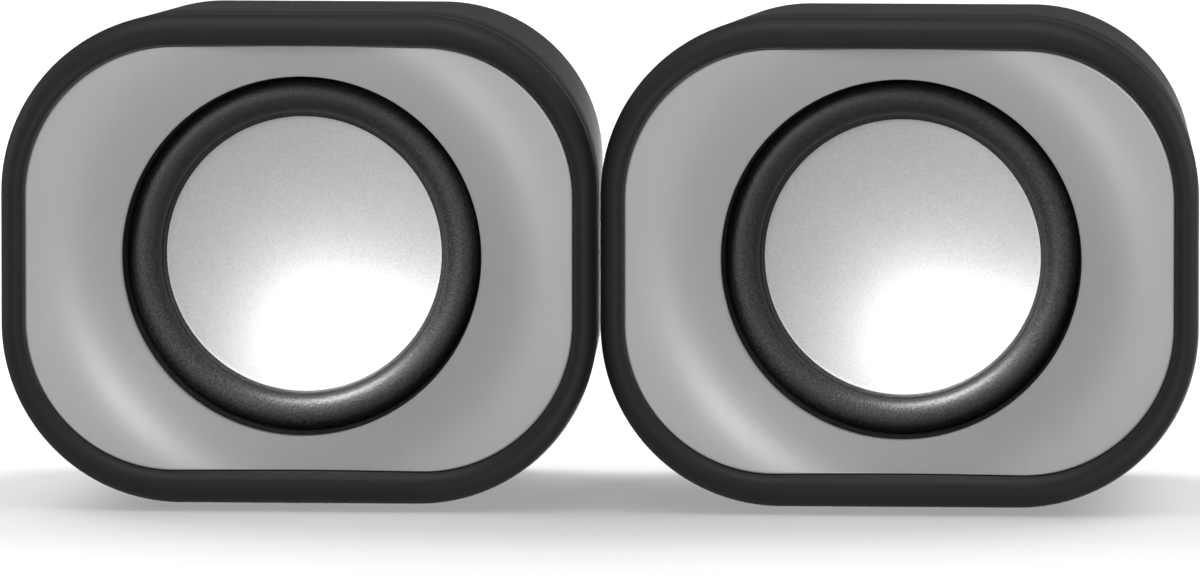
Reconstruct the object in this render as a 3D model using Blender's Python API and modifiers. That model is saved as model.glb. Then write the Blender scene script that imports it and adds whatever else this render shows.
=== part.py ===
"""A pair of small desktop speakers: a passive left one and an active right one, side by side.

Each speaker is modelled in its own frame: x across, y the depth behind the front plane, z up from the
driver's axis. An empty places that frame. The pair faces -Y and stands on z = 0.
"""

import math

import bmesh
import bpy
from mathutils import Matrix, Vector

# Driving dimensions, in metres.
FRAME_WIDTH = 0.0798
FRAME_HEIGHT = 0.0655
FRAME_CORNER = 0.0240
TRIM_WIDTH = 0.0735
TRIM_HEIGHT = 0.0570
TRIM_CORNER = 0.0202
BODY_DEPTH = 0.0670
WALL = 0.0020
GAP = 0.0003
BETWEEN_SPEAKERS = 0.0004
FOOT_STAND_OFF = 0.0010

# Front frame: a lip and a shallow rim, with a skirt that plugs into the rear shell. The lip's points
# are shares of the way out from the trim, each with its depth.
LIP = [(0.10, 0.0009), (0.38, 0.0), (0.62, 0.0003), (0.87, 0.0012), (1.00, 0.0024)]
WIDEST_Y = LIP[-1][1]
RIM_END_Y = 0.0055
RIM_BEVEL = 0.0004
SKIRT_INSET = 0.0028
SKIRT_WALL = 0.0015
SKIRT_END_Y = 0.0118
WEB_FRONT_Y = 0.0076
WEB_THICKNESS = 0.0018
WEB_HOLE_RADIUS = 0.0249
SEAT_FLOOR_Y = 0.0031
SEAT_LEDGE_SHARE = 0.16

# Trim: a plate that sinks towards the round aperture.
TRIM_EDGE_Y = 0.0013
APERTURE_Y = 0.0060
APERTURE_RADIUS = 0.0242
TRIM_THICKNESS = 0.0012
TRIM_SHARES = (0.0, 0.3, 0.6, 0.82, 1.0)
TRIM_POWER = 1.5

# Body: from the lip's widest line the sides and the top lean in towards the back, the bottom doesn't,
# and the back ends in a rounded edge.
SIDE_DRAFT = 0.0036
TOP_DRAFT = 0.0027
REAR_ROUND = 0.0055
REAR_TURNS = (35, 65, 90)

# Driver.
GASKET_THICKNESS = 0.0005
GASKET_INNER = 0.0251
SURROUND_THICKNESS = 0.0004
SURROUND_INNER = 0.01845
ROLL_INNER = 0.0193
ROLL_OUTER = 0.0231
SURROUND_OUTER = 0.0264
SHEET = 0.0009
FLANGE_INNER = 0.0216
FLANGE_RADIUS = 0.0270
BASKET_DEPTH = 0.0102
BASKET_BEND = 0.0229
CUP_OUTER = 0.0150
CUP_INNER = 0.0127
CUP_LIP = 0.0024
CUP_HOLE = 0.0080
EAR_OFFSET = 0.0216
EAR_RADIUS = 0.0032
BRIDGE_SHARE = 0.86
BRIDGE_RADIUS = 0.0040
WINDOW_SIZE = (0.013, 0.0040, 0.020)
WINDOW_Y = 0.0034
CONE_RADIUS = 0.0190
CONE_DISH = 0.0050
CONE_THICKNESS = 0.0008
COIL_INNER = 0.0063
COIL_OUTER = 0.0071
FORMER_OUTER = 0.0066
COIL_STEP = 0.0010
COIL_CLEARANCE = 0.0004
FORMER_CLEARANCE = 0.0005
SPIDER_OUTER = 0.0138
SPIDER_AHEAD = 0.0033
SPIDER_WAVE = 0.0004
POLE_RADIUS = 0.00595
YOKE_THICKNESS = 0.0023
MAGNET_INNER = 0.0090
MAGNET_RADIUS = 0.0150
MAGNET_HEIGHT = 0.0065
PLATE_INNER = 0.00745
PLATE_RADIUS = 0.0140
PLATE_THICKNESS = 0.0020

# Terminal strip and leads.
TAG_WIDTH = 0.0120
TAG_BELOW = 0.0018
TAG_ABOVE = 0.0022
TAG_THICKNESS = 0.0008
TERMINAL_Z = 0.0250
LUG_X = 0.0035
LUG_SIZE = (0.0020, 0.0040, 0.0006)
LEAD_RADIUS = 0.0006
LEAD_TOP_Y = 0.0300
LEAD_TOP_Z = 0.0225

# Screws, posts and wells.
POST_X = 0.0265
POST_Z = 0.0155
POST_RADIUS = 0.0032
POST_END_Y = 0.0340
PILOT_START_Y = 0.0220
WELL_SEAT_Y = 0.0380
WELL_RADIUS = 0.0030
WELL_WALL = 0.0012
SCREW_RADIUS = 0.0011
SCREW_POINT = 0.0012
PILOT_RADIUS = 0.00145
PASS_RADIUS = 0.0016
BOSS_RADIUS = 0.0027
BOSS_FRONT_Y = 0.0062
DRIVER_SCREW_TIP_Y = 0.0074
DRIVER_SCREW_HEAD = (0.0022, 0.0015)
CASE_SCREW_TIP_Y = 0.0235
CASE_SCREW_HEAD = (0.0025, 0.0017)

# Rear fittings, as places in the speaker's own frame.
GROMMET_X = 0.0130
GROMMET_Z = -0.0190
GROMMET_HOLE = 0.0035
GROMMET_BORE = 0.0018
GROMMET_COLLAR = 0.0042
GROMMET_FLANGE = 0.0050
COLLAR_LENGTH = 0.0013
FLANGE_LENGTH = 0.0024

# Volume control.
KNOB_Z = 0.0100
KNOB_RADIUS = 0.0080
KNOB_HEIGHT = 0.0094
KNOB_CUP = 0.0058
KNOB_CORNER = 0.0010
MARK_SIZE = (0.0008, 0.0006, 0.0030)
MARK_Z = 0.0045
BUSHING_RADIUS = 0.0034
BUSHING_LENGTH = 0.0018
SHAFT_RADIUS = 0.00295
SHAFT_LENGTH = 0.0050
NUT_RADIUS = 0.0056
NUT_HEIGHT = 0.0014
POT_HALF = 0.0055
POT_DEPTH = 0.0090

# Amplifier.
BOARD_HALF_WIDTH = 0.0190
BOARD_BOTTOM = -0.0130
BOARD_TOP = 0.0170
BOARD_THICKNESS = 0.0016
CHIP_MIDDLE = (-0.0090, -0.0030)
CHIP_SIZE = (0.0100, 0.0022, 0.0060)
CAPACITOR_PLACE = (0.0080, -0.0030)
CAPACITOR_RADIUS = 0.0040
CAPACITOR_HEIGHT = 0.0100
SMALL_CHAMFER = 0.0004

# Feet.
FOOT_LENGTH = 0.0260
FOOT_BREADTH = 0.0070
FOOT_POCKET = 0.0006
FOOT_BEVEL = 0.0003
FRONT_FOOT_Y = 0.0205
REAR_FOOT_Y = 0.0540

# How finely round shapes are cut, and how far a cutter or a boss runs past what it meets.
OUTLINE_POINTS = 32
ROUND_SEGMENTS = 20
MEDIUM_SEGMENTS = 16
SMALL_SEGMENTS = 8
OVERRUN = 0.0010
OVERLAP = 0.0005

# Worked out from the dimensions above.
PITCH = FRAME_WIDTH + BETWEEN_SPEAKERS
TOTAL_DEPTH = BODY_DEPTH + GAP + KNOB_HEIGHT + GAP
FRONT_Y = -TOTAL_DEPTH / 2
AXIS_Z = FOOT_STAND_OFF + FRAME_HEIGHT / 2
WEB_REAR_Y = WEB_FRONT_Y + WEB_THICKNESS
GASKET_Y = WEB_REAR_Y + GAP
SURROUND_Y = GASKET_Y + GASKET_THICKNESS + GAP
FLANGE_Y = SURROUND_Y + SURROUND_THICKNESS + GAP
FLANGE_REAR_Y = FLANGE_Y + SHEET
CONE_Y = SURROUND_Y + SURROUND_THICKNESS + GAP
SHELL_Y = RIM_END_Y + GAP
BASKET_FLOOR_Y = FLANGE_Y + BASKET_DEPTH
PLATE_Y = BASKET_FLOOR_Y + SHEET + GAP
PLATE_REAR_Y = PLATE_Y + PLATE_THICKNESS
MAGNET_Y = PLATE_REAR_Y + GAP
YOKE_Y = MAGNET_Y + MAGNET_HEIGHT + GAP
TERMINAL_Y = FLANGE_REAR_Y + GAP
LUG_END_Y = TERMINAL_Y + TAG_THICKNESS / 2 + LUG_SIZE[1]
REAR_WALL_Y = BODY_DEPTH - WALL
COLLAR_Y = REAR_WALL_Y - COLLAR_LENGTH
POT_REAR_Y = REAR_WALL_Y - GAP
POT_FRONT_Y = POT_REAR_Y - POT_DEPTH
BOARD_Y = POT_FRONT_Y - GAP - BOARD_THICKNESS
BOARD_FRONT_Y = BOARD_Y - GAP
KNOB_Y = BODY_DEPTH + GAP
KNOB_END_Y = KNOB_Y + KNOB_HEIGHT
BUSHING_END_Y = BODY_DEPTH + BUSHING_LENGTH
SHAFT_Y = BUSHING_END_Y + GAP
SHAFT_END_Y = SHAFT_Y + SHAFT_LENGTH
FRAME_BOTTOM = -FRAME_HEIGHT / 2
POST_PLACES = [(sx * POST_X, sz * POST_Z) for sx in (-1, 1) for sz in (-1, 1)]
EAR_PLACES = [(sx * EAR_OFFSET, sz * EAR_OFFSET) for sx in (-1, 1) for sz in (-1, 1)]

# Colour, roughness and metallic value of each material.
MATERIALS = {
    "black_moulding": ((0.012, 0.012, 0.013), 0.52, 0.0),
    "silver_paint": ((0.38, 0.38, 0.39), 0.42, 0.30),
    "cone_silver": ((0.62, 0.62, 0.63), 0.38, 0.6),
    "black_rubber": ((0.015, 0.015, 0.016), 0.70, 0.0),
    "steel": ((0.45, 0.45, 0.46), 0.35, 1.0),
    "ferrite": ((0.06, 0.06, 0.065), 0.80, 0.0),
    "foam": ((0.05, 0.05, 0.05), 0.95, 0.0),
    "amber_cloth": ((0.55, 0.35, 0.12), 0.85, 0.0),
    "copper": ((0.72, 0.38, 0.20), 0.35, 1.0),
    "tag_board": ((0.30, 0.16, 0.07), 0.60, 0.0),
    "red_wire": ((0.55, 0.03, 0.03), 0.50, 0.0),
    "black_wire": ((0.03, 0.03, 0.03), 0.50, 0.0),
    "circuit_board": ((0.05, 0.22, 0.09), 0.50, 0.0),
    "chip_black": ((0.03, 0.03, 0.03), 0.55, 0.0),
    "capacitor_sleeve": ((0.04, 0.05, 0.20), 0.40, 0.0),
}


# Scene and material helpers.


def clear_scene():
    for obj in list(bpy.data.objects):
        bpy.data.objects.remove(obj, do_unlink=True)


def new_collection(name):
    collection = bpy.data.collections.new(name)
    bpy.context.scene.collection.children.link(collection)
    return collection


def make_materials():
    made = {}
    for name, (colour, roughness, metallic) in MATERIALS.items():
        material = bpy.data.materials.new(name)
        material.use_nodes = True
        shader = material.node_tree.nodes["Principled BSDF"]
        shader.inputs["Base Color"].default_value = (*colour, 1.0)
        shader.inputs["Roughness"].default_value = roughness
        shader.inputs["Metallic"].default_value = metallic
        made[name] = material
    return made


clear_scene()
PARTS = new_collection("desktop_speakers")
CUTTERS = new_collection("cutters")
MATERIAL = make_materials()


def empty(name, location, parent=None):
    obj = bpy.data.objects.new(name, None)
    obj.location = location
    obj.parent = parent
    PARTS.objects.link(obj)
    return obj


def add_part(name, mesh, material, parent):
    obj = bpy.data.objects.new(name, mesh)
    obj.parent = parent
    obj.data.materials.append(MATERIAL[material])
    PARTS.objects.link(obj)
    return obj


def combine(obj, name, mesh, operation):
    """Adds a mesh to a part (UNION) or cuts it away (DIFFERENCE)."""
    tool = bpy.data.objects.new(f"{obj.name}_{name}", mesh)
    tool.parent = obj.parent
    tool.hide_render = True
    tool.display_type = "WIRE"
    CUTTERS.objects.link(tool)
    modifier = obj.modifiers.new(name, "BOOLEAN")
    modifier.object = tool
    modifier.operation = operation
    modifier.solver = "EXACT"


def mesh_from(name, bm):
    bmesh.ops.recalc_face_normals(bm, faces=bm.faces)
    mesh = bpy.data.meshes.new(name)
    bm.to_mesh(mesh)
    bm.free()
    return mesh


# Shape helpers. Every point is (across, depth, up) in the speaker's own frame.


def rounded_reach(half_width, half_height, corner, angle):
    """How far a ray from the centre goes before it leaves a rounded rectangle."""
    across, up = abs(math.cos(angle)), abs(math.sin(angle))
    side_limit, top_limit = half_width - corner, half_height - corner
    if half_width * up <= top_limit * across:
        return half_width / across
    if half_height * across <= side_limit * up:
        return half_height / up
    along = across * side_limit + up * top_limit
    return along + math.sqrt(along**2 - side_limit**2 - top_limit**2 + corner**2)


def ring(reach_at, depth, lift=0.0):
    """Points round the driver's axis, each as far out as reach_at says for its angle."""
    points = []
    for i in range(OUTLINE_POINTS):
        angle = 2 * math.pi * (i + 0.5) / OUTLINE_POINTS
        reach = reach_at(angle)
        points.append(Vector((reach * math.cos(angle), depth, reach * math.sin(angle) + lift)))
    return points


def outline_ring(half_width, half_height, corner, depth, lift=0.0):
    return ring(lambda angle: rounded_reach(half_width, half_height, corner, angle), depth, lift)


def frame_ring(share, depth):
    """The outline between the trim's edge (share 0) and the frame's outside (share 1)."""
    half_width = (TRIM_WIDTH + share * (FRAME_WIDTH - TRIM_WIDTH)) / 2
    half_height = (TRIM_HEIGHT + share * (FRAME_HEIGHT - TRIM_HEIGHT)) / 2
    corner = TRIM_CORNER + share * (FRAME_CORNER - TRIM_CORNER)
    return outline_ring(half_width, half_height, corner, depth)


def body_ring(depth, inset=0.0):
    """The cabinet's outside behind the lip, moved inwards by the same distance all round."""
    run = (depth - WIDEST_Y) / (BODY_DEPTH - WIDEST_Y)
    into_round = max(0.0, (depth - (BODY_DEPTH - REAR_ROUND)) / REAR_ROUND)
    inset += REAR_ROUND * (1.0 - math.sqrt(max(0.0, 1.0 - into_round**2)))
    side = FRAME_WIDTH / 2 - SIDE_DRAFT * run - inset
    top = FRAME_HEIGHT / 2 - TOP_DRAFT * run - inset
    bottom = FRAME_BOTTOM + inset
    corner = FRAME_CORNER - TOP_DRAFT * run - inset
    return outline_ring(side, (top - bottom) / 2, corner, depth, lift=(top + bottom) / 2)


def funnel_ring(share, depth, gap=0.0):
    """Between the trim's outline, less a gap (share 0), and the round aperture (share 1)."""

    def reach_at(angle):
        outer = rounded_reach(TRIM_WIDTH / 2 - gap, TRIM_HEIGHT / 2 - gap, TRIM_CORNER - gap, angle)
        return outer + (APERTURE_RADIUS - outer) * share

    return ring(reach_at, depth)


def loft(name, rings, ends="capped"):
    """Skins rings of equal count, with both ends capped, or joined, or only the rear one capped."""
    bm = bmesh.new()
    rows = [[bm.verts.new(point) for point in points] for points in rings]
    count = len(rings[0])
    following = rows[1:] + rows[:1] if ends == "joined" else rows[1:]
    for here, after in zip(rows, following):
        for i in range(count):
            j = (i + 1) % count
            bm.faces.new((here[i], here[j], after[j], after[i]))
    if ends == "capped":
        bm.faces.new(rows[0])
    if ends != "joined":
        bm.faces.new(rows[-1])
    return mesh_from(name, bm)


def rods(name, places, radius, start, end, segments=SMALL_SEGMENTS):
    """Equal cylinders along the depth, one at each (across, up) place."""
    bm = bmesh.new()
    for across, up in places:
        middle = Matrix.Translation((across, (start + end) / 2, up))
        bmesh.ops.create_cone(
            bm,
            cap_ends=True,
            segments=segments,
            radius1=radius,
            radius2=radius,
            depth=end - start,
            matrix=middle @ Matrix.Rotation(math.pi / 2, 4, "X"),
        )
    return mesh_from(name, bm)


def block(name, low, high):
    low, high = Vector(low), Vector(high)
    bm = bmesh.new()
    size = Matrix.Diagonal((*(high - low), 1.0))
    bmesh.ops.create_cube(bm, size=1.0, matrix=Matrix.Translation((low + high) / 2) @ size)
    return mesh_from(name, bm)


def turned(name, profile, material, parent, closed=True, segments=ROUND_SEGMENTS, place=(0.0, 0.0)):
    """Turns a profile of (radius, depth) points about the depth axis through place."""
    mesh = bpy.data.meshes.new(name)
    points = [(radius, 0.0, -depth) for radius, depth in profile]
    edges = [(i, i + 1) for i in range(len(points) - 1)]
    if closed:
        edges.append((len(points) - 1, 0))
    mesh.from_pydata(points, edges, [])
    obj = add_part(name, mesh, material, parent)
    obj.location = (place[0], 0.0, place[1])
    obj.rotation_euler = (math.pi / 2, 0.0, 0.0)
    screw = obj.modifiers.new("turn", "SCREW")
    screw.axis = "Z"
    screw.steps = segments
    screw.render_steps = segments
    screw.use_merge_vertices = True
    screw.merge_threshold = 1e-5
    screw.use_smooth_shade = True
    return obj


def washer_profile(inner, outer, start, end):
    return [(inner, start), (outer, start), (outer, end), (inner, end)]


# Front: the frame with the web that carries the driver, and the trim.


def make_front_frame(side, parent):
    rings = [frame_ring(share, depth) for share, depth in LIP]
    rings.append(body_ring(RIM_END_Y - RIM_BEVEL))
    rings.append(body_ring(RIM_END_Y, RIM_BEVEL))
    rings.append(body_ring(RIM_END_Y, SKIRT_INSET))
    rings.append(body_ring(SKIRT_END_Y, SKIRT_INSET))
    frame = add_part(f"{side}_front_frame", loft("front_frame", rings), "black_moulding", parent)
    trim_seat = [
        funnel_ring(0.0, -OVERRUN),
        funnel_ring(0.0, SEAT_FLOOR_Y),
        funnel_ring(SEAT_LEDGE_SHARE, SEAT_FLOOR_Y),
        funnel_ring(SEAT_LEDGE_SHARE, WEB_FRONT_Y),
    ]
    inside = SKIRT_INSET + SKIRT_WALL
    hollow = [body_ring(WEB_REAR_Y, inside), body_ring(SKIRT_END_Y + OVERRUN, inside)]
    driver_hole = rods(
        "driver_hole", [(0.0, 0.0)], WEB_HOLE_RADIUS, BOSS_FRONT_Y, SKIRT_END_Y, OUTLINE_POINTS
    )
    posts = rods("posts", POST_PLACES, POST_RADIUS, WEB_FRONT_Y + OVERLAP, POST_END_Y)
    bosses = rods("bosses", EAR_PLACES, BOSS_RADIUS, BOSS_FRONT_Y, WEB_REAR_Y - OVERLAP)
    post_pilots = rods("pilots", POST_PLACES, PILOT_RADIUS, PILOT_START_Y, POST_END_Y + OVERRUN)
    boss_pilots = rods(
        "pilots", EAR_PLACES, PILOT_RADIUS, BOSS_FRONT_Y + OVERRUN, WEB_REAR_Y + OVERRUN
    )
    combine(frame, "trim_seat", loft("trim_seat", trim_seat), "DIFFERENCE")
    combine(frame, "hollow", loft("hollow", hollow), "DIFFERENCE")
    combine(frame, "driver_hole", driver_hole, "DIFFERENCE")
    combine(frame, "case_posts", posts, "UNION")
    combine(frame, "driver_bosses", bosses, "UNION")
    combine(frame, "post_pilots", post_pilots, "DIFFERENCE")
    combine(frame, "boss_pilots", boss_pilots, "DIFFERENCE")


def make_baffle_trim(side, parent):
    front = []
    for share in TRIM_SHARES:
        depth = TRIM_EDGE_Y + (APERTURE_Y - TRIM_EDGE_Y) * share**TRIM_POWER
        front.append(funnel_ring(share, depth, GAP))
    back = Vector((0.0, TRIM_THICKNESS, 0.0))
    rear = [[point + back for point in points] for points in front[::-1]]
    mesh = loft("baffle_trim", front + rear, ends="joined")
    add_part(f"{side}_baffle_trim", mesh, "silver_paint", parent)


# Rear shell.


def make_shell_mesh():
    """The shell's outside, open at the front and closed by its flat rear face."""
    straight = BODY_DEPTH - REAR_ROUND
    depths = [SHELL_Y, straight]
    depths += [straight + REAR_ROUND * math.sin(math.radians(turn)) for turn in REAR_TURNS]
    return loft("rear_shell", [body_ring(depth) for depth in depths], ends="rear capped")


def faces_outwards(mesh):
    """True if an open tube's faces look away from its axis on the whole."""
    total = 0.0
    for face in mesh.polygons:
        total += face.area * (face.normal.x * face.center.x + face.normal.z * face.center.z)
    return total > 0


def foot_box(name, middle_y, bottom, top, clearance=0.0):
    half_length = FOOT_LENGTH / 2 + clearance
    half_breadth = FOOT_BREADTH / 2 + clearance
    return block(
        name,
        (-half_length, middle_y - half_breadth, bottom),
        (half_length, middle_y + half_breadth, top),
    )


def make_rear_shell(side, parent, rear_holes):
    mesh = make_shell_mesh()
    shell = add_part(f"{side}_rear_shell", mesh, "black_moulding", parent)
    skin = shell.modifiers.new("wall", "SOLIDIFY")
    skin.thickness = WALL
    skin.offset = -1.0 if faces_outwards(mesh) else 1.0
    boss_start, boss_end = POST_END_Y + GAP, REAR_WALL_Y + WALL / 2
    well_bosses = rods("well_bosses", POST_PLACES, WELL_RADIUS + WELL_WALL, boss_start, boss_end)
    wells = rods("wells", POST_PLACES, WELL_RADIUS, WELL_SEAT_Y, BODY_DEPTH + OVERRUN)
    screw_holes = rods(
        "screw_holes", POST_PLACES, PASS_RADIUS, POST_END_Y - OVERRUN, WELL_SEAT_Y + OVERRUN
    )
    combine(shell, "well_bosses", well_bosses, "UNION")
    combine(shell, "wells", wells, "DIFFERENCE")
    combine(shell, "screw_holes", screw_holes, "DIFFERENCE")
    for name, middle_y in (("front_pocket", FRONT_FOOT_Y), ("rear_pocket", REAR_FOOT_Y)):
        pocket = foot_box(name, middle_y, FRAME_BOTTOM - OVERRUN, FRAME_BOTTOM + FOOT_POCKET, GAP)
        combine(shell, name, pocket, "DIFFERENCE")
    for name, place, radius in rear_holes:
        hole = rods(
            name, [place], radius, REAR_WALL_Y - OVERRUN, BODY_DEPTH + OVERRUN, MEDIUM_SEGMENTS
        )
        combine(shell, name, hole, "DIFFERENCE")


def make_feet(side, parent):
    for name, middle_y in (("front_foot", FRONT_FOOT_Y), ("rear_foot", REAR_FOOT_Y)):
        bottom, top = FRAME_BOTTOM - FOOT_STAND_OFF, FRAME_BOTTOM + FOOT_POCKET - GAP
        mesh = foot_box(name, middle_y, bottom, top)
        foot = add_part(f"{side}_{name}", mesh, "black_rubber", parent)
        modifier = foot.modifiers.new("rounded_edges", "BEVEL")
        modifier.width = FOOT_BEVEL
        modifier.segments = 1


# Driver.


def make_basket(side, parent):
    """A pressed frame: the flange, a sloping wall with windows, and the cup that holds the motor."""
    floor, rear = BASKET_FLOOR_Y, FLANGE_REAR_Y
    profile = [
        (FLANGE_INNER, FLANGE_Y),
        (FLANGE_RADIUS, FLANGE_Y),
        (FLANGE_RADIUS, rear),
        (BASKET_BEND, rear),
        (CUP_OUTER, floor - CUP_LIP + SHEET),
        (CUP_INNER + SHEET, floor - CUP_LIP + SHEET),
        (CUP_INNER + SHEET, floor + SHEET),
        (CUP_HOLE, floor + SHEET),
        (CUP_HOLE, floor),
        (CUP_INNER, floor),
        (CUP_INNER, floor - CUP_LIP),
        (CUP_OUTER - SHEET, floor - CUP_LIP),
    ]
    basket = turned(f"{side}_basket", profile, "steel", parent)
    bridge_places = [(x * BRIDGE_SHARE, z * BRIDGE_SHARE) for x, z in EAR_PLACES]
    bridges = rods("bridges", bridge_places, BRIDGE_RADIUS, FLANGE_Y, rear)
    ears = rods("ears", EAR_PLACES, EAR_RADIUS, FLANGE_Y, rear)
    ear_holes = rods("ear_holes", EAR_PLACES, PASS_RADIUS, FLANGE_Y - OVERRUN, rear + OVERRUN)
    windows = bmesh.new()
    for quarter in range(4):
        turn = Matrix.Rotation(quarter * math.pi / 2, 4, "Y")
        size = Matrix.Diagonal((*WINDOW_SIZE, 1.0))
        shift = Matrix.Translation((0.0, rear + WINDOW_Y, WINDOW_SIZE[2]))
        bmesh.ops.create_cube(windows, size=1.0, matrix=turn @ shift @ size)
    combine(basket, "bridges", bridges, "UNION")
    combine(basket, "ears", ears, "UNION")
    combine(basket, "windows", mesh_from("windows", windows), "DIFFERENCE")
    combine(basket, "ear_holes", ear_holes, "DIFFERENCE")


def make_gasket(side, parent):
    profile = washer_profile(GASKET_INNER, SURROUND_OUTER, GASKET_Y, GASKET_Y + GASKET_THICKNESS)
    turned(f"{side}_gasket", profile, "foam", parent)


def roll_profile(steps):
    """The half-roll: the front arc from inside to outside, then the rear arc back."""
    centre = (ROLL_INNER + ROLL_OUTER) / 2
    front = (ROLL_OUTER - ROLL_INNER) / 2
    rear = front - SURROUND_THICKNESS
    rear_y = SURROUND_Y + SURROUND_THICKNESS
    angles = [math.pi * i / steps for i in range(steps + 1)]
    points = [(SURROUND_INNER, SURROUND_Y)]
    points += [(centre - front * math.cos(a), SURROUND_Y - front * math.sin(a)) for a in angles]
    points += [(SURROUND_OUTER, SURROUND_Y), (SURROUND_OUTER, rear_y)]
    points += [(centre + rear * math.cos(a), rear_y - front * math.sin(a)) for a in angles]
    points.append((SURROUND_INNER, rear_y))
    return points


def make_surround(side, parent):
    turned(f"{side}_surround", roll_profile(steps=5), "black_rubber", parent)


def cone_depth(radius):
    share = radius / SURROUND_INNER
    return CONE_Y + CONE_DISH * (1.0 - share**2)


def make_cone(side, parent):
    """The dish and its flat rim, which the surround is glued to."""
    steps = 4
    radii = [SURROUND_INNER * i / steps for i in range(steps + 1)]
    front = [(radius, cone_depth(radius)) for radius in radii]
    rim = [(CONE_RADIUS, CONE_Y), (CONE_RADIUS, CONE_Y + CONE_THICKNESS)]
    rear = [(radius, depth + CONE_THICKNESS) for radius, depth in front[::-1]]
    turned(f"{side}_cone", front + rim + rear, "cone_silver", parent, closed=False)


def make_voice_coil(side, parent):
    """The former, glued behind the dish, and its winding in the motor's gap."""
    top = cone_depth(FORMER_OUTER) + CONE_THICKNESS + FORMER_CLEARANCE
    winding_top = BASKET_FLOOR_Y - COIL_STEP
    bottom = PLATE_REAR_Y + COIL_CLEARANCE
    profile = [
        (COIL_INNER, top),
        (FORMER_OUTER, top),
        (FORMER_OUTER, winding_top),
        (COIL_OUTER, winding_top),
        (COIL_OUTER, bottom),
        (COIL_INNER, bottom),
    ]
    turned(f"{side}_voice_coil", profile, "copper", parent, segments=MEDIUM_SEGMENTS)


def make_spider(side, parent):
    """A disc with ring-shaped waves between the former and the basket's ledge."""
    inner = FORMER_OUTER + GAP
    middle = BASKET_FLOOR_Y - SPIDER_AHEAD
    steps, waves, flat_from = 8, 2, 0.8
    front = []
    for i in range(steps + 1):
        share = i / steps
        height = SPIDER_WAVE if share < flat_from else 0.0
        depth = middle - height * math.sin(2 * math.pi * waves * share)
        front.append((inner + (SPIDER_OUTER - inner) * share, depth))
    rear = [(radius, depth + SURROUND_THICKNESS) for radius, depth in front[::-1]]
    turned(f"{side}_spider", front + rear, "amber_cloth", parent, segments=MEDIUM_SEGMENTS)


def make_motor(side, parent):
    plate = washer_profile(PLATE_INNER, PLATE_RADIUS, PLATE_Y, PLATE_REAR_Y)
    turned(f"{side}_top_plate", plate, "steel", parent)
    magnet = washer_profile(MAGNET_INNER, MAGNET_RADIUS, MAGNET_Y, MAGNET_Y + MAGNET_HEIGHT)
    turned(f"{side}_magnet", magnet, "ferrite", parent)
    yoke = [
        (0.0, PLATE_Y),
        (POLE_RADIUS, PLATE_Y),
        (POLE_RADIUS, YOKE_Y),
        (PLATE_RADIUS - SMALL_CHAMFER, YOKE_Y),
        (PLATE_RADIUS, YOKE_Y + SMALL_CHAMFER),
        (PLATE_RADIUS, YOKE_Y + YOKE_THICKNESS),
        (0.0, YOKE_Y + YOKE_THICKNESS),
    ]
    turned(f"{side}_yoke", yoke, "steel", parent, closed=False)


def make_terminal_strip(side, parent):
    plate = block(
        "tag_plate",
        (-TAG_WIDTH / 2, TERMINAL_Y, TERMINAL_Z - TAG_BELOW),
        (TAG_WIDTH / 2, TERMINAL_Y + TAG_THICKNESS, TERMINAL_Z + TAG_ABOVE),
    )
    strip = add_part(f"{side}_terminal_strip", plate, "tag_board", parent)
    width, length, height = LUG_SIZE
    for name, across in (("minus_lug", -LUG_X), ("plus_lug", LUG_X)):
        lug = block(
            name,
            (across - width / 2, LUG_END_Y - length, TERMINAL_Z - height / 2),
            (across + width / 2, LUG_END_Y, TERMINAL_Z + height / 2),
        )
        combine(strip, name, lug, "UNION")


def smooth_route(points, steps=3):
    """Points along a smooth curve through the given ones."""
    ends = [2 * points[0] - points[1], *points, 2 * points[-1] - points[-2]]
    route = []
    for a, b, c, d in zip(ends, ends[1:], ends[2:], ends[3:]):
        bend, swing = 2 * a - 5 * b + 4 * c - d, 3 * b - a - 3 * c + d
        for i in range(steps):
            t = i / steps
            route.append(0.5 * (2 * b + (c - a) * t + bend * t**2 + swing * t**3))
    route.append(points[-1])
    return route


def make_lead(name, points, material, parent):
    curve = bpy.data.curves.new(name, "CURVE")
    curve.dimensions = "3D"
    curve.bevel_depth = LEAD_RADIUS
    curve.bevel_resolution = 2
    curve.use_fill_caps = True
    spline = curve.splines.new("POLY")
    route = smooth_route([Vector(point) for point in points])
    spline.points.add(len(route) - 1)
    for place, point in zip(spline.points, route):
        place.co = (*point, 1.0)
    add_part(name, curve, material, parent)


def make_leads(side, parent, end_y, end_places):
    """Two leads from the tag strip's lugs, back over the magnet, to their ends at the rear."""
    start_y = LUG_END_Y + GAP
    straight = 0.0040
    arch = 0.0030
    for name, across, material, (end_x, end_z) in (
        ("lead_plus", LUG_X, "red_wire", end_places[0]),
        ("lead_minus", -LUG_X, "black_wire", end_places[1]),
    ):
        points = [
            (across, start_y, TERMINAL_Z),
            (across, start_y + straight, TERMINAL_Z),
            (across * 0.8, LEAD_TOP_Y, LEAD_TOP_Z),
            (across * 0.3 + end_x * 0.7, (LEAD_TOP_Y + end_y) / 2, (LEAD_TOP_Z + end_z) / 2 + arch),
            (end_x, end_y - straight, end_z),
            (end_x, end_y, end_z),
        ]
        make_lead(f"{side}_{name}", points, material, parent)


def make_screw(name, place, seat_y, tip_y, head, parent):
    """A pan-head screw driven from the rear, with a domed head of (radius, height)."""
    radius, height = head
    profile = [
        (0.0, tip_y),
        (SCREW_RADIUS, tip_y + SCREW_POINT),
        (SCREW_RADIUS, seat_y),
        (radius, seat_y),
        (radius, seat_y + height * 0.55),
        (radius * 0.62, seat_y + height),
        (0.0, seat_y + height),
    ]
    turned(name, profile, "steel", parent, closed=False, segments=SMALL_SEGMENTS, place=place)


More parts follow.
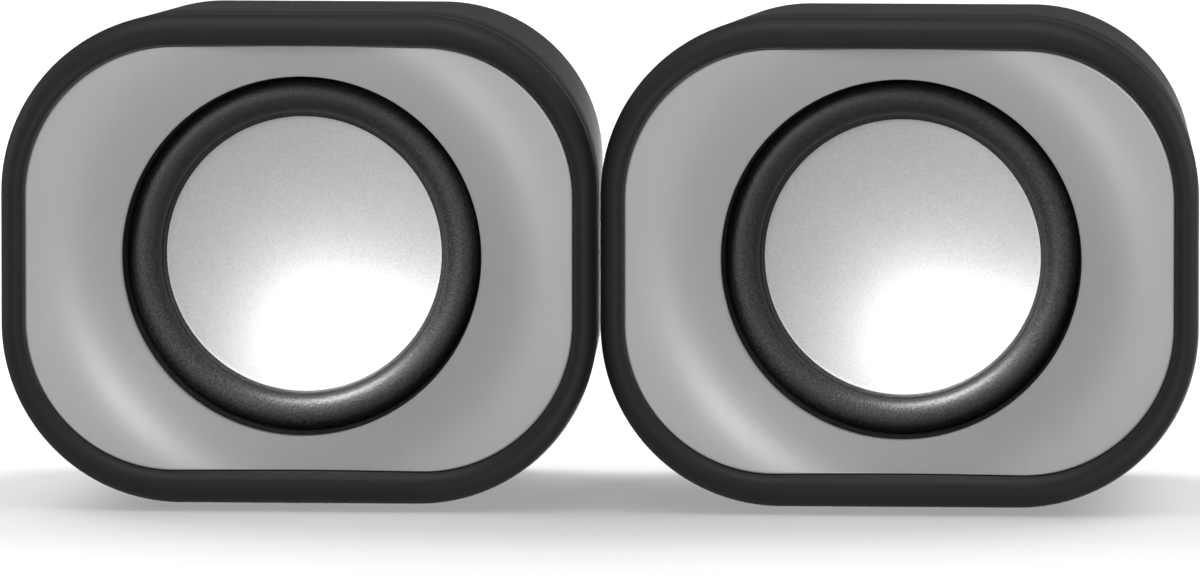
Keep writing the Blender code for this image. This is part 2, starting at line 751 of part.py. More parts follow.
def make_screws(side, parent):
    for number, place in enumerate(EAR_PLACES, 1):
        name, seat = f"{side}_driver_screw_{number}", FLANGE_REAR_Y + GAP
        make_screw(name, place, seat, DRIVER_SCREW_TIP_Y, DRIVER_SCREW_HEAD, parent)
    for number, place in enumerate(POST_PLACES, 1):
        name, seat = f"{side}_case_screw_{number}", WELL_SEAT_Y + GAP
        make_screw(name, place, seat, CASE_SCREW_TIP_Y, CASE_SCREW_HEAD, parent)


def make_grommet(name, place, parent):
    """A rubber ring in the rear wall, with a collar inside and a wider one outside."""
    body = GROMMET_HOLE - GAP
    flange_y = BODY_DEPTH + GAP
    end = BODY_DEPTH + FLANGE_LENGTH
    profile = [
        (GROMMET_BORE, COLLAR_Y),
        (GROMMET_COLLAR, COLLAR_Y),
        (GROMMET_COLLAR, REAR_WALL_Y - GAP),
        (body, REAR_WALL_Y - GAP),
        (body, flange_y),
        (GROMMET_FLANGE, flange_y),
        (GROMMET_FLANGE - SMALL_CHAMFER, (flange_y + end) / 2),
        (body, end),
        (GROMMET_BORE, end),
    ]
    turned(name, profile, "black_rubber", parent, segments=MEDIUM_SEGMENTS, place=place)


# Amplifier and volume control, in the right speaker only.


def make_amplifier(side, parent):
    board = block(
        "amp_board",
        (-BOARD_HALF_WIDTH, BOARD_Y, BOARD_BOTTOM),
        (BOARD_HALF_WIDTH, BOARD_Y + BOARD_THICKNESS, BOARD_TOP),
    )
    add_part(f"{side}_amp_board", board, "circuit_board", parent)
    (chip_x, chip_z), (width, thickness, height) = CHIP_MIDDLE, CHIP_SIZE
    chip = block(
        "amp_chip",
        (chip_x - width / 2, BOARD_FRONT_Y - thickness, chip_z - height / 2),
        (chip_x + width / 2, BOARD_FRONT_Y, chip_z + height / 2),
    )
    add_part(f"{side}_amp_chip", chip, "chip_black", parent)
    top = BOARD_FRONT_Y - CAPACITOR_HEIGHT
    can = [
        (0.0, top),
        (CAPACITOR_RADIUS - SMALL_CHAMFER, top),
        (CAPACITOR_RADIUS, top + SMALL_CHAMFER),
        (CAPACITOR_RADIUS, BOARD_FRONT_Y),
        (0.0, BOARD_FRONT_Y),
    ]
    turned(
        f"{side}_capacitor",
        can,
        "capacitor_sleeve",
        parent,
        closed=False,
        segments=MEDIUM_SEGMENTS,
        place=CAPACITOR_PLACE,
    )


def make_potentiometer(side, parent):
    """The control's square body, its bushing through the rear wall and the nut that clamps it."""
    body = block(
        "potentiometer",
        (-POT_HALF, POT_FRONT_Y, KNOB_Z - POT_HALF),
        (POT_HALF, POT_REAR_Y, KNOB_Z + POT_HALF),
    )
    pot = add_part(f"{side}_potentiometer", body, "steel", parent)
    place = [(0.0, KNOB_Z)]
    bushing = rods(
        "bushing", place, BUSHING_RADIUS, POT_REAR_Y - OVERRUN, BUSHING_END_Y, MEDIUM_SEGMENTS
    )
    combine(pot, "bushing", bushing, "UNION")
    nut_y = BODY_DEPTH + GAP
    nut = add_part(
        f"{side}_pot_nut",
        rods("pot_nut", place, NUT_RADIUS, nut_y, nut_y + NUT_HEIGHT, segments=6),
        "steel",
        parent,
    )
    hole_radius, hole_end = BUSHING_RADIUS + GAP, BUSHING_END_Y + OVERRUN
    nut_hole = rods("nut_hole", place, hole_radius, nut_y - OVERRUN, hole_end, MEDIUM_SEGMENTS)
    combine(nut, "nut_hole", nut_hole, "DIFFERENCE")


def make_knob(side, parent):
    """The shaft and the knob pressed on it. Both turn, so their parent lies on the axis."""
    shaft = [
        (0.0, SHAFT_Y),
        (SHAFT_RADIUS, SHAFT_Y),
        (SHAFT_RADIUS, SHAFT_END_Y),
        (0.0, SHAFT_END_Y),
    ]
    name = f"{side}_pot_shaft"
    turned(name, shaft, "steel", parent, closed=False, segments=MEDIUM_SEGMENTS)
    bore = SHAFT_RADIUS + GAP
    knob = [
        (0.0, SHAFT_END_Y + GAP),
        (bore, SHAFT_END_Y + GAP),
        (bore, SHAFT_Y + GAP),
        (KNOB_CUP, SHAFT_Y + GAP),
        (KNOB_CUP, KNOB_Y),
        (KNOB_RADIUS, KNOB_Y),
        (KNOB_RADIUS, KNOB_END_Y - KNOB_CORNER),
        (KNOB_RADIUS - KNOB_CORNER, KNOB_END_Y),
        (0.0, KNOB_END_Y),
    ]
    name = f"{side}_volume_knob"
    volume_knob = turned(name, knob, "black_moulding", parent, closed=False)
    width, depth, length = MARK_SIZE
    mark = block(
        "pointer_mark",
        (-width / 2, KNOB_END_Y - depth, MARK_Z - length / 2),
        (width / 2, KNOB_END_Y + OVERRUN, MARK_Z + length / 2),
    )
    combine(volume_knob, "pointer_mark", mark, "DIFFERENCE")


# The two speakers.


def make_speaker(side, middle_x, rear_holes):
    """Everything that both speakers have. Returns the empty of the cabinet."""
    cabinet = empty(f"{side}_cabinet", (middle_x, FRONT_Y, AXIS_Z))
    moving = empty(f"{side}_cone_assembly", (0.0, 0.0, 0.0), cabinet)
    make_front_frame(side, cabinet)
    make_baffle_trim(side, cabinet)
    make_rear_shell(side, cabinet, rear_holes)
    make_feet(side, cabinet)
    make_basket(side, cabinet)
    make_gasket(side, cabinet)
    make_surround(side, cabinet)
    make_spider(side, cabinet)
    make_motor(side, cabinet)
    make_terminal_strip(side, cabinet)
    make_screws(side, cabinet)
    make_cone(side, moving)
    make_voice_coil(side, moving)
    make_grommet(f"{side}_cord_grommet", (-GROMMET_X, GROMMET_Z), cabinet)
    return cabinet


def main():
    cord_hole = ("cord_hole", (-GROMMET_X, GROMMET_Z), GROMMET_HOLE)
    supply_hole = ("supply_hole", (GROMMET_X, GROMMET_Z), GROMMET_HOLE)
    pot_hole = ("pot_hole", (0.0, KNOB_Z), BUSHING_RADIUS + GAP)

    left = make_speaker("left", -PITCH / 2, [cord_hole])
    side_by_side = 0.0009
    left_ends = [(-GROMMET_X + side_by_side, GROMMET_Z), (-GROMMET_X - side_by_side, GROMMET_Z)]
    make_leads("left", left, COLLAR_Y - GAP, left_ends)

    right = make_speaker("right", PITCH / 2, [cord_hole, supply_hole, pot_hole])
    make_grommet("right_supply_grommet", (GROMMET_X, GROMMET_Z), right)
    solder_x, solder_z = 0.0100, 0.0130
    make_leads("right", right, BOARD_FRONT_Y, [(solder_x, solder_z), (-solder_x, solder_z)])
    make_amplifier("right", right)
    make_potentiometer("right", right)
    make_knob("right", empty("volume_control", (0.0, 0.0, KNOB_Z), right))


main()
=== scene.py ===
"""The looks of a pair of small desktop speakers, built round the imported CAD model.

Lengths are in metres. Each speaker has its own frame: across, depth behind the front plane, and up from
the driver's axis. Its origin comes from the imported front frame's box.
"""

import math

import bmesh
import bpy
import numpy as np
from mathutils import Matrix, Vector


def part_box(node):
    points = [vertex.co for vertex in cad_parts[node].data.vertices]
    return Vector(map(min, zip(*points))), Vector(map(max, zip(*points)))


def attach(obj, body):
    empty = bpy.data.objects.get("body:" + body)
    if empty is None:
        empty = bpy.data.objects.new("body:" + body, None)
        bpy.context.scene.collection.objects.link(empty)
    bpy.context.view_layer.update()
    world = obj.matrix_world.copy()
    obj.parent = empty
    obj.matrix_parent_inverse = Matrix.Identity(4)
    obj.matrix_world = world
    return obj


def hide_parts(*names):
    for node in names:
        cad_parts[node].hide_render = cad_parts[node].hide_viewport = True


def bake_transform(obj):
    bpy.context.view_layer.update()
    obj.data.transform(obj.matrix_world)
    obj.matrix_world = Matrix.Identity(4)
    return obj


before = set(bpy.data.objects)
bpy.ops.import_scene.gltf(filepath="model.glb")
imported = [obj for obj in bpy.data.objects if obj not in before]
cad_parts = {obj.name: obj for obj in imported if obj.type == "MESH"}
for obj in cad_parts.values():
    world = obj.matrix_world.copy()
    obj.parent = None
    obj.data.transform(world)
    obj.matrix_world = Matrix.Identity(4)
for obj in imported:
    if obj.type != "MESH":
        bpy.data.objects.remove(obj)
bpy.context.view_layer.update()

SIDES = ("left", "right")

# How finely the visible shapes are cut.
OUTLINE_POINTS = 240
DRIVER_POINTS = 192
KNOB_POINTS = 288
GROMMET_POINTS = 64
WELL_POINTS = 48
SCREW_POINTS = 32

# Pieces that sit in each other are this far apart, and a tool that cuts through goes this far past.
CLEARANCE = 0.0003
OVERSHOOT = 0.001
REAR_OVERSHOOT = 0.002

# The front's outline, from the trim's edge to the frame's outside.
FRAME_CORNER = 0.0240
TRIM_CORNER = 0.0202
TRIM_EDGE_Y = 0.0013
APERTURE_Y = 0.0060
APERTURE_RADIUS = 0.0242
SHOULDER_RADIUS = 0.0308
SHOULDER_WIDTH = 0.0022
TRIM_THICKNESS = 0.0010
TRIM_GAP = 0.0001

# The body behind the lip's widest line: how far its sides and top lean in, and its rounded rear edge.
WIDEST_Y = 0.0024
SIDE_DRAFT = 0.0036
TOP_DRAFT = 0.0027
REAR_ROUND = 0.0055
WALL = 0.0020


# Boxes and places, from the frame.


def box(node):
    low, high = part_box(node)
    return Vector(low), Vector(high)


def origin_of(side):
    """The speaker's own origin: on the driver's axis, at the front frame's foremost line."""
    low, high = box(f"{side}_front_frame")
    return Vector(((low.x + high.x) / 2, low.y, (low.z + high.z) / 2))


ORIGIN = {side: origin_of(side) for side in SIDES}


def span(node, side="left"):
    """A node's extent along the depth, behind its speaker's front plane."""
    low, high = box(node)
    return low.y - ORIGIN[side].y, high.y - ORIGIN[side].y


def radius_of(node):
    low, high = box(node)
    return (high.x - low.x) / 2


FRAME_LOW, FRAME_HIGH = box("left_front_frame")
HALF_WIDTH = (FRAME_HIGH.x - FRAME_LOW.x) / 2
HALF_HEIGHT = (FRAME_HIGH.z - FRAME_LOW.z) / 2
TRIM_LOW, TRIM_HIGH = box("left_baffle_trim")
TRIM_HALF_WIDTH = (TRIM_HIGH.x - TRIM_LOW.x) / 2 + CLEARANCE
TRIM_HALF_HEIGHT = (TRIM_HIGH.z - TRIM_LOW.z) / 2 + CLEARANCE
SHELL_FRONT_Y, SHELL_REAR_Y = span("left_rear_shell")
RIM_END_Y = SHELL_FRONT_Y - CLEARANCE
SURROUND_FRONT_Y, SURROUND_REAR_Y = span("left_surround")
CONE_FRONT_Y, CONE_REAR_Y = span("left_cone")


# Mesh helpers.


def new_object(name, mesh, material, location=(0.0, 0.0, 0.0)):
    obj = bpy.data.objects.new(name, mesh)
    obj.location = location
    obj.data.materials.append(material)
    bpy.context.scene.collection.objects.link(obj)
    return obj


def finish_mesh(name, bm, sharp_angle=38):
    bmesh.ops.recalc_face_normals(bm, faces=bm.faces)
    mesh = bpy.data.meshes.new(name)
    bm.to_mesh(mesh)
    bm.free()
    mesh.shade_smooth()
    mesh.set_sharp_from_angle(angle=math.radians(sharp_angle))
    return mesh


def loft_into(bm, rings, ends):
    """Skins rings of equal count into bm. A ring of one point closes to a fan."""
    rows = [[bm.verts.new(point) for point in ring] for ring in rings]
    count = max(len(row) for row in rows)
    following = rows[1:] + rows[:1] if ends == "joined" else rows[1:]
    for here, after in zip(rows, following):
        for i in range(count):
            j = (i + 1) % count
            if len(here) == 1:
                bm.faces.new((here[0], after[j], after[i]))
            elif len(after) == 1:
                bm.faces.new((here[i], here[j], after[0]))
            else:
                bm.faces.new((here[i], here[j], after[j], after[i]))
    if ends == "capped":
        bm.faces.new(rows[0])
        bm.faces.new(rows[-1])


def loft(name, rings, ends="capped", sharp_angle=38):
    bm = bmesh.new()
    loft_into(bm, rings, ends)
    return finish_mesh(name, bm, sharp_angle)


def filleted(points, closed=True, steps=5):
    """Rounds the corners of a profile. Each point is (a, b, radius), and the result is (a, b) pairs."""
    result = []
    count = len(points)
    for i, (a, b, radius) in enumerate(points):
        here = Vector((a, b))
        at_end = not closed and i in (0, count - 1)
        if radius <= 0.0 or at_end:
            result.append(tuple(here))
            continue
        before = Vector(points[i - 1][:2]) - here
        after = Vector(points[(i + 1) % count][:2]) - here
        reach = min(radius, 0.45 * before.length, 0.45 * after.length)
        start, stop = here + before.normalized() * reach, here + after.normalized() * reach
        for k in range(steps + 1):
            t = k / steps
            bend = (1 - t) ** 2 * start + 2 * t * (1 - t) * here + t**2 * stop
            result.append(tuple(bend))
    return result


def turned_rings(profile, segments, place=(0.0, 0.0), ribs=0, rib_depth=0.0):
    """Rings of points round the depth axis through place. Ribs are waves cut into every ring."""
    rings = []
    for radius, depth in profile:
        if radius < 1e-7:
            rings.append([Vector((place[0], depth, place[1]))])
            continue
        ring = []
        for i in range(segments):
            angle = 2 * math.pi * i / segments
            reach = radius - rib_depth * (0.5 + 0.5 * math.cos(ribs * angle))
            across, up = reach * math.cos(angle), reach * math.sin(angle)
            ring.append(Vector((place[0] + across, depth, place[1] + up)))
        rings.append(ring)
    return rings


def turned(name, profile, segments, closed=True, sharp_angle=38, **kwargs):
    rings = turned_rings(profile, segments, **kwargs)
    return loft(name, rings, "joined" if closed else "open", sharp_angle)


def rods_into(bm, places, radius, start, end, segments=32):
    for across, up in places:
        middle = Matrix.Translation((across, (start + end) / 2, up))
        bmesh.ops.create_cone(
            bm,
            cap_ends=True,
            segments=segments,
            radius1=radius,
            radius2=radius,
            depth=end - start,
            matrix=middle @ Matrix.Rotation(math.pi / 2, 4, "X"),
        )


def cutter(name, build):
    """A hidden object for a Boolean. build fills a bmesh."""
    bm = bmesh.new()
    build(bm)
    return bpy.data.objects.new(name, finish_mesh(name, bm))


def with_booleans(obj, steps, sharp_angle=38):
    """Applies union and difference steps in turn, then removes the cutters."""
    tools = []
    for operation, tool in steps:
        bpy.context.scene.collection.objects.link(tool)
        tool.location = obj.location
        modifier = obj.modifiers.new(tool.name, "BOOLEAN")
        modifier.object = tool
        modifier.operation = operation
        modifier.solver = "EXACT"
        tools.append(tool)
    evaluated = obj.evaluated_get(bpy.context.evaluated_depsgraph_get())
    mesh = bpy.data.meshes.new_from_object(evaluated)
    obj.modifiers.clear()
    obj.data = mesh
    for tool in tools:
        bpy.data.objects.remove(tool, do_unlink=True)
    mesh.shade_smooth()
    mesh.set_sharp_from_angle(angle=math.radians(sharp_angle))


# Outlines.


def rounded_reach(half_width, half_height, corner, angle):
    """How far a ray from the centre goes before it leaves a rounded rectangle."""
    across, up = abs(math.cos(angle)), abs(math.sin(angle))
    side_limit, top_limit = half_width - corner, half_height - corner
    if across > 1e-9 and half_width * up / across <= top_limit:
        return half_width / across
    if up > 1e-9 and half_height * across / up <= side_limit:
        return half_height / up
    along = across * side_limit + up * top_limit
    return along + math.sqrt(along**2 - side_limit**2 - top_limit**2 + corner**2)


ANGLES = [2 * math.pi * (i + 0.5) / OUTLINE_POINTS for i in range(OUTLINE_POINTS)]


def outline(half_width, half_height, corner, depth, lift=0.0):
    ring = []
    for angle in ANGLES:
        reach = rounded_reach(half_width, half_height, corner, angle)
        ring.append(Vector((reach * math.cos(angle), depth, reach * math.sin(angle) + lift)))
    return ring


def share_outline(share, depth):
    """Between the trim's edge (share 0) and the frame's outside (share 1)."""
    return outline(
        TRIM_HALF_WIDTH + share * (HALF_WIDTH - TRIM_HALF_WIDTH),
        TRIM_HALF_HEIGHT + share * (HALF_HEIGHT - TRIM_HALF_HEIGHT),
        TRIM_CORNER + share * (FRAME_CORNER - TRIM_CORNER),
        depth,
    )


def body_outline(depth, inset=0.0, at=None):
    """The cabinet's outside at a depth, moved inwards by an inset, and placed at another depth if asked."""
    run = (depth - WIDEST_Y) / (SHELL_REAR_Y - WIDEST_Y)
    into_round = max(0.0, (depth - (SHELL_REAR_Y - REAR_ROUND)) / REAR_ROUND)
    inset += REAR_ROUND * (1.0 - math.sqrt(max(0.0, 1.0 - into_round**2)))
    side = HALF_WIDTH - SIDE_DRAFT * run - inset
    top = HALF_HEIGHT - TOP_DRAFT * run - inset
    bottom = inset - HALF_HEIGHT
    corner = FRAME_CORNER - TOP_DRAFT * run - inset
    place = depth if at is None else at
    return outline(side, (top - bottom) / 2, corner, place, lift=(top + bottom) / 2)


def circle(radius, depth):
    return [Vector((radius * math.cos(a), depth, radius * math.sin(a))) for a in ANGLES]


# Materials. Every one has its own grain, roughness variation and bump.

CLOUD_SCALE = 60.0


class Nodes:
    """A small helper that adds and joins shader nodes."""

    def __init__(self, material):
        self.tree = material.node_tree
        self.shader = self.tree.nodes["Principled BSDF"]
        self.coords = self.tree.nodes.new("ShaderNodeTexCoord").outputs["Object"]

    def link(self, source, target):
        self.tree.links.new(source, target)

    def stretched(self, scale):
        mapping = self.tree.nodes.new("ShaderNodeMapping")
        mapping.inputs["Scale"].default_value = scale
        self.link(self.coords, mapping.inputs["Vector"])
        return mapping.outputs["Vector"]

    def noise(self, scale, detail=3.0, roughness=0.55, vector=None):
        node = self.tree.nodes.new("ShaderNodeTexNoise")
        node.inputs["Scale"].default_value = scale
        node.inputs["Detail"].default_value = detail
        node.inputs["Roughness"].default_value = roughness
        self.link(vector if vector is not None else self.coords, node.inputs["Vector"])
        return node.outputs["Fac"]

    def ranged(self, value, low, high, from_low=0.3, from_high=0.7):
        node = self.tree.nodes.new("ShaderNodeMapRange")
        node.inputs["From Min"].default_value = from_low
        node.inputs["From Max"].default_value = from_high
        node.inputs["To Min"].default_value = low
        node.inputs["To Max"].default_value = high
        self.link(value, node.inputs["Value"])
        return node.outputs["Result"]

    def math(self, operation, a, b):
        node = self.tree.nodes.new("ShaderNodeMath")
        node.operation = operation
        for socket, value in zip(node.inputs, (a, b)):
            if isinstance(value, (int, float)):
                socket.default_value = value
            else:
                self.link(value, socket)
        return node.outputs["Value"]

    def mixed(self, factor, colour_a, colour_b):
        node = self.tree.nodes.new("ShaderNodeMix")
        node.data_type = "RGBA"
        node.inputs["A"].default_value = (*colour_a, 1.0)
        node.inputs["B"].default_value = (*colour_b, 1.0)
        self.link(factor, node.inputs["Factor"])
        return node.outputs["Result"]

    def bump(self, height, strength, distance):
        node = self.tree.nodes.new("ShaderNodeBump")
        node.inputs["Strength"].default_value = strength
        node.inputs["Distance"].default_value = distance
        self.link(height, node.inputs["Height"])
        self.link(node.outputs["Normal"], self.shader.inputs["Normal"])


def new_material(name, metallic=0.0, specular=0.5):
    material = bpy.data.materials.new(name)
    material.use_nodes = True
    nodes = Nodes(material)
    nodes.shader.inputs["Metallic"].default_value = metallic
    nodes.shader.inputs["Specular IOR Level"].default_value = specular
    return material, nodes


def grained(name, dark, light, rough, grain, bump, metallic=0.0, specular=0.5):
    """Moulded, cast or coated: a fine grain over broad, faint clouds. grain is the grains' size."""
    material, nodes = new_material(name, metallic, specular)
    fine = nodes.noise(1.0 / grain, detail=2.0)
    broad = nodes.noise(CLOUD_SCALE, detail=4.0)
    both = nodes.math("ADD", nodes.math("MULTIPLY", fine, 0.6), nodes.math("MULTIPLY", broad, 0.4))
    shade = nodes.ranged(both, 0.0, 1.0, 0.35, 0.65)
    nodes.link(nodes.mixed(shade, dark, light), nodes.shader.inputs["Base Color"])
    nodes.link(nodes.ranged(both, rough[0], rough[1]), nodes.shader.inputs["Roughness"])
    nodes.bump(fine, bump, grain * 0.4)
    return material


def make_trim_silver():
    """Satin silver paint, faintly brushed up and down, over a fine metal flake."""
    material, nodes = new_material("trim_silver", metallic=0.22, specular=0.35)
    streaks = nodes.noise(1.0, detail=3.0, vector=nodes.stretched((2600.0, 40.0, 60.0)))
    flake = nodes.noise(9000.0, detail=1.0)
    broad = nodes.noise(45.0, detail=3.0)
    both = nodes.math("ADD", nodes.math("MULTIPLY", streaks, 0.30), nodes.math("MULTIPLY", flake, 0.35))
    both = nodes.math("ADD", both, nodes.math("MULTIPLY", broad, 0.35))
    shade = nodes.ranged(both, 0.0, 1.0, 0.35, 0.65)
    nodes.link(
        nodes.mixed(shade, (0.308, 0.310, 0.313), (0.328, 0.330, 0.332)),
        nodes.shader.inputs["Base Color"],
    )
    nodes.link(nodes.ranged(both, 0.36, 0.46), nodes.shader.inputs["Roughness"])
    nodes.bump(nodes.math("ADD", streaks, flake), 0.10, 0.00004)
    return material


def make_cone_silver():
    """Spun aluminium look with a sparkling grain."""
    material, nodes = new_material("cone_silver", metallic=0.60, specular=0.5)
    grain = nodes.noise(3600.0, detail=3.0, roughness=0.7)
    broad = nodes.noise(90.0, detail=3.0)
    both = nodes.math("ADD", nodes.math("MULTIPLY", grain, 0.8), nodes.math("MULTIPLY", broad, 0.2))
    shade = nodes.ranged(both, 0.0, 1.0, 0.35, 0.65)
    nodes.link(
        nodes.mixed(shade, (0.60, 0.605, 0.61), (0.74, 0.742, 0.745)),
        nodes.shader.inputs["Base Color"],
    )
    nodes.link(nodes.ranged(both, 0.38, 0.50), nodes.shader.inputs["Roughness"])
    nodes.bump(grain, 0.22, 0.00008)
    return material


def make_surround_rubber():
    """Coated foam rubber: black, with fine lighter specks and a pebbled skin."""
    material, nodes = new_material("surround_rubber", specular=0.60)
    pebble = nodes.noise(3200.0, detail=3.0, roughness=0.7)
    speck = nodes.noise(6500.0, detail=1.0)
    shade = nodes.ranged(nodes.math("MULTIPLY", pebble, speck), 0.0, 1.0, 0.20, 0.42)
    nodes.link(
        nodes.mixed(shade, (0.004, 0.004, 0.004), (0.026, 0.026, 0.027)),
        nodes.shader.inputs["Base Color"],
    )
    nodes.link(nodes.ranged(pebble, 0.32, 0.50), nodes.shader.inputs["Roughness"])
    nodes.bump(pebble, 0.45, 0.00012)
    return material


def make_materials():
    return {
        "trim": make_trim_silver(),
        "cone": make_cone_silver(),
        "surround": make_surround_rubber(),
        "moulding": grained(
            "black_moulding", (0.008, 0.008, 0.0085), (0.014, 0.014, 0.0145), (0.48, 0.62), 0.00022,
            0.10, specular=0.40,
        ),
        "knob": grained(
            "knob_black", (0.016, 0.016, 0.017), (0.028, 0.028, 0.029), (0.40, 0.55), 0.00020, 0.12
        ),
        "foot": grained(
            "foot_rubber", (0.012, 0.012, 0.012), (0.030, 0.030, 0.030), (0.70, 0.88), 0.00030, 0.25
        ),
        "grommet": grained(
            "grommet_rubber", (0.012, 0.012, 0.013), (0.028, 0.028, 0.029), (0.55, 0.72), 0.00025, 0.18
        ),
        "screw": grained(
            "screw_steel", (0.30, 0.30, 0.31), (0.46, 0.46, 0.47), (0.28, 0.44), 0.00012, 0.10,
            metallic=1.0,
        ),
        "steel": grained(
            "plated_steel", (0.42, 0.42, 0.43), (0.55, 0.55, 0.56), (0.30, 0.46), 0.00040, 0.08,
            metallic=1.0,
        ),
        "ferrite": grained(
            "ferrite_black", (0.030, 0.030, 0.032), (0.075, 0.075, 0.080), (0.72, 0.92), 0.00030, 0.35
        ),
        "foam": grained(
            "gasket_foam", (0.015, 0.015, 0.015), (0.070, 0.070, 0.070), (0.90, 1.00), 0.00050, 0.70
        ),
        "spider_cloth": grained(
            "spider_cloth", (0.34, 0.19, 0.05), (0.62, 0.40, 0.14), (0.70, 0.90), 0.00045, 0.60
        ),
        "coil": grained(
            "copper_coil", (0.55, 0.24, 0.11), (0.85, 0.45, 0.24), (0.25, 0.42), 0.00018, 0.30,
            metallic=1.0,
        ),
        "tag_board": grained(
            "tag_board", (0.20, 0.10, 0.04), (0.36, 0.20, 0.09), (0.48, 0.66), 0.00035, 0.15
        ),
        "red_wire": grained(
            "red_insulation", (0.42, 0.015, 0.015), (0.60, 0.035, 0.030), (0.38, 0.52), 0.00050, 0.06
        ),
        "black_wire": grained(
            "black_insulation", (0.014, 0.014, 0.014), (0.030, 0.030, 0.030), (0.38, 0.52), 0.00050, 0.06
        ),
        "circuit_board": grained(
            "solder_mask", (0.015, 0.12, 0.04), (0.035, 0.22, 0.08), (0.28, 0.44), 0.00080, 0.05
        ),
        "chip": grained(
            "chip_epoxy", (0.018, 0.018, 0.018), (0.040, 0.040, 0.040), (0.50, 0.70), 0.00015, 0.20
        ),
        "capacitor": grained(
            "capacitor_sleeve", (0.02, 0.025, 0.12), (0.04, 0.05, 0.20), (0.26, 0.40), 0.00060, 0.05
        ),
    }


MATERIAL = make_materials()


def piece(name, mesh, slot, side, body, replaces=()):
    """One finished piece: placed in its speaker's frame, riding on a body, standing for CAD nodes.

    A piece that is cut later is given no body here, and rides after that; the surround rides on none.
    """
    obj = new_object(name, mesh, MATERIAL[slot], ORIGIN[side])
    if body:
        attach(obj, body)
    if replaces:
        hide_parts(*replaces)
    return obj


# Places that both the shell and the frame use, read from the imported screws.


def axis_of(node, side):
    low, high = box(node)
    centre = (low + high) / 2 - ORIGIN[side]
    return centre.x, centre.z


POST_PLACES = [axis_of(f"left_case_screw_{i}", "left") for i in range(1, 5)]
EAR_PLACES = [axis_of(f"left_driver_screw_{i}", "left") for i in range(1, 5)]
POST_END_Y = span("left_front_frame")[1]
WELL_SEAT_Y = 0.0380
WELL_RADIUS = 0.0030
WEB_FRONT_Y = 0.0076
WEB_REAR_Y = 0.0094
WEB_HOLE_RADIUS = 0.0249
SKIRT_INSET = 0.0028
SKIRT_WALL = 0.0015
SKIRT_END_Y = 0.0118
SEAT_LEDGE_SHARE = 0.16


# The trim is a flat silver face that rolls over a round shoulder into the driver's recess.

# Its rounded outer edge, as (share of the way in, drop), and the rings that follow it.
TRIM_EDGE_PROFILE = [
    (0.0, 0.00030),
    (0.004, 0.00017),
    (0.010, 0.00008),
    (0.018, 0.00002),
    (0.030, 0.0),
]
TRIM_RINGS = 48
TRIM_BACK_SHARES = [0.97, 0.85, 0.7, 0.5, 0.3, 0.1, 0.0]

# The short collar at the aperture, as (outwards, behind) from the aperture's edge.
COLLAR_PROFILE = [
    (-0.00008, 0.00012),
    (-0.00010, 0.00030),
    (-0.00010, 0.0012),
    (0.00045, 0.0012),
]


def recess_depth(reach):
    """How deep the trim is at a distance from the axis: flat outside the shoulder, a cone inside it."""

    def fall(distance):
        return math.log1p(math.exp((SHOULDER_RADIUS - distance) / SHOULDER_WIDTH))

    return (APERTURE_Y - TRIM_EDGE_Y) * fall(reach) / fall(APERTURE_RADIUS)


def trim_point(share, angle, lower=0.0):
    """From the trim's edge (share 0) to the round aperture (share 1)."""
    outer = rounded_reach(
        TRIM_HALF_WIDTH - TRIM_GAP, TRIM_HALF_HEIGHT - TRIM_GAP, TRIM_CORNER - TRIM_GAP, angle
    )
    reach = outer + (APERTURE_RADIUS - outer) * share
    depth = TRIM_EDGE_Y + recess_depth(reach) + lower
    return Vector((reach * math.cos(angle), depth, reach * math.sin(angle)))


def behind_trim(share, angle, depth=None):
    """A point of the seat: just clear of the trim's back, or at a given depth."""
    point = trim_point(share, angle, TRIM_THICKNESS + CLEARANCE)
    if share == 0.0:
        reach = rounded_reach(TRIM_HALF_WIDTH, TRIM_HALF_HEIGHT, TRIM_CORNER, angle)
        point = Vector((reach * math.cos(angle), point.y, reach * math.sin(angle)))
    if depth is not None:
        point.y = depth
    return point


def make_baffle_trim(side):
    front = [
        [trim_point(share, angle, drop) for angle in ANGLES] for share, drop in TRIM_EDGE_PROFILE
    ]
    edge_share = TRIM_EDGE_PROFILE[-1][0]
    for i in range(1, TRIM_RINGS + 1):
        share = edge_share + (1.0 - edge_share) * i / TRIM_RINGS
        front.append([trim_point(share, angle) for angle in ANGLES])
    collar = [
        circle(APERTURE_RADIUS + outwards, APERTURE_Y + behind) for outwards, behind in COLLAR_PROFILE
    ]
    back = [
        [trim_point(share, angle, TRIM_THICKNESS) for angle in ANGLES] for share in TRIM_BACK_SHARES
    ]
    mesh = loft(f"{side}_trim_plate", front + collar + back, "joined", sharp_angle=50)
    piece(
        f"{side}_trim_plate", mesh, "trim", side, f"{side}_cabinet", (f"{side}_baffle_trim",)
    )


# Front frame: one loft whose section runs over the lip, down the outside and in to the round web.

# The lip's section, as (share of the way out from the trim's edge, depth).
LIP_PROFILE = [
    (0.02, 0.00110),
    (0.06, 0.00075),
    (0.14, 0.00040),
    (0.25, 0.00014),
    (0.33, 0.00003),
    (0.40, 0.0),
    (0.48, 0.00006),
    (0.56, 0.00018),
    (0.64, 0.00034),
    (0.72, 0.00056),
    (0.80, 0.00086),
    (0.87, 0.00120),
    (0.93, 0.00158),
    (0.975, 0.00198),
    (1.0, WIDEST_Y),
]
LIP_INNER_Y = 0.0016

# The rim's softened rear edge, as (before the rim's end, inset).
RIM_EDGE_PROFILE = [
    (0.0015, 0.0),
    (0.0004, 0.0),
    (0.0001, 0.0001),
    (0.0, 0.0004),
]

# Posts and bosses stand in the web, and their pilot holes take the screws.
POST_RADIUS = 0.0032
POST_START_Y = WEB_FRONT_Y + 0.0005
POST_PILOT_START_Y = 0.022
EAR_BOSS_RADIUS = 0.0027
EAR_BOSS_START_Y = 0.0062
EAR_BOSS_END_Y = WEB_REAR_Y - 0.0004
EAR_PILOT_START_Y = 0.0070
PILOT_RADIUS = 0.00145


